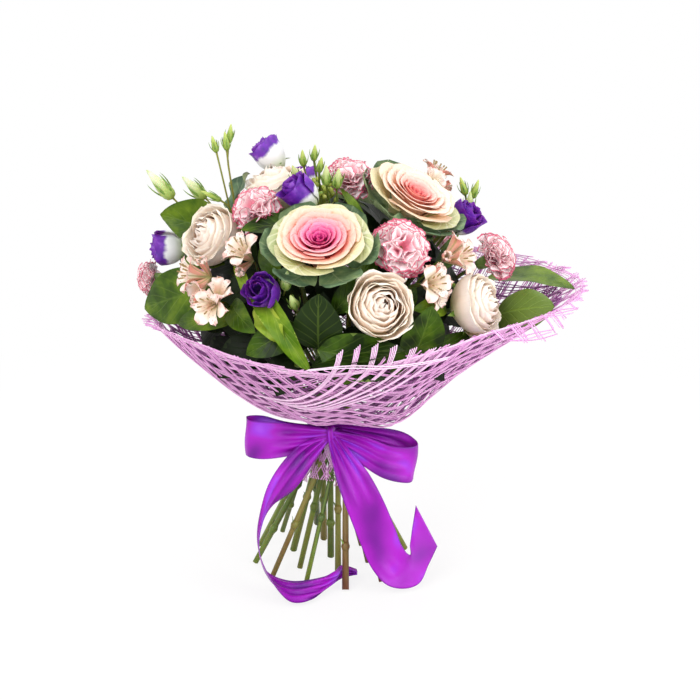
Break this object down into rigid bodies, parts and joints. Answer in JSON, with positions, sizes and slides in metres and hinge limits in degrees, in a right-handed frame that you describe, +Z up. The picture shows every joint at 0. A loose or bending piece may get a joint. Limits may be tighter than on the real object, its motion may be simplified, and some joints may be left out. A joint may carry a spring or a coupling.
{
  "type": "rose bouquet",
  "caption": "Standing hand-tied spiral bouquet of cream roses, ornamental cabbages, carnations, lisianthus and alstroemeria in a lilac open-weave wrap with a purple satin bow.",
  "frame": {"origin": "centre of the cut end of the middle stem, on the surface that the bouquet stands on", "axes": "+Z up, -Y towards the front where the bow's knot is, +X to the right seen from the front"},
  "size_m": [0.4413, 0.3562, 0.4609],
  "materials": {
    "rose_petal": "soft cream petals, greenish outside",
    "cabbage_leaf": "waxy leaves, magenta heart to green rim",
    "carnation_petal": "white petals with dark pink edges",
    "lisianthus_petal": "white petals with deep violet edges",
    "alstroemeria_petal": "cream and salmon petals with dark flecks",
    "stem": "green stems, browner at the cuts",
    "leaf": "glossy dark green leaves",
    "wrap_mesh": "open-weave lilac plant fibre",
    "ribbon_satin": "glossy purple satin",
    "twine": "rough natural twine"
  },
  "bodies": {
    "root": {"alstroemeria_left_1": "alstroemeria_petal", "alstroemeria_left_2": "alstroemeria_petal", "alstroemeria_left_3": "alstroemeria_petal", "alstroemeria_left_stem": "stem", "alstroemeria_right_1": "alstroemeria_petal", "alstroemeria_right_2": "alstroemeria_petal", "alstroemeria_right_3": "alstroemeria_petal", "alstroemeria_right_stem": "stem", "binding_twine": "twine", "cabbage_back": "cabbage_leaf", "cabbage_back_stem": "stem", "cabbage_front": "cabbage_leaf", "cabbage_front_stem": "stem", "cabbage_right": "cabbage_leaf", "cabbage_right_stem": "stem", "carnation_back": "carnation_petal", "carnation_far_left": "carnation_petal", "carnation_front": "carnation_petal", "carnation_front_stem": "stem", "carnation_left": "carnation_petal", "carnation_left_stem": "stem", "carnation_right": "carnation_petal", "carnation_right_stem": "stem", "carnation_top": "carnation_petal", "carnation_top_stem": "stem", "leaf_back": "leaf", "leaf_centre": "leaf", "leaf_far_right": "leaf", "leaf_front": "leaf", "leaf_front_right": "leaf", "leaf_left_lower": "leaf", "leaf_left_upper": "leaf", "leaf_right": "leaf", "lisianthus_back": "lisianthus_petal", "lisianthus_centre": "lisianthus_petal", "lisianthus_front": "lisianthus_petal", "lisianthus_left": "lisianthus_petal", "lisianthus_left_stem": "stem", "lisianthus_right": "lisianthus_petal", "lisianthus_right_stem": "stem", "lisianthus_top": "lisianthus_petal", "mesh_wrap": "wrap_mesh", "ribbon_band": "ribbon_satin", "ribbon_loop_left": "ribbon_satin", "ribbon_loop_right": "ribbon_satin", "ribbon_tail_left": "ribbon_satin", "ribbon_tail_right": "ribbon_satin", "rose_back": "rose_petal", "rose_back_stem": "stem", "rose_front": "rose_petal", "rose_front_stem": "stem", "rose_left": "rose_petal", "rose_left_stem": "stem", "rose_right": "rose_petal", "rose_right_stem": "stem", "rose_top": "rose_petal", "rose_top_stem": "stem", "salal_back_stem": "stem", "salal_left_stem": "stem", "salal_right_stem": "stem"}
  },
  "joints": []
}
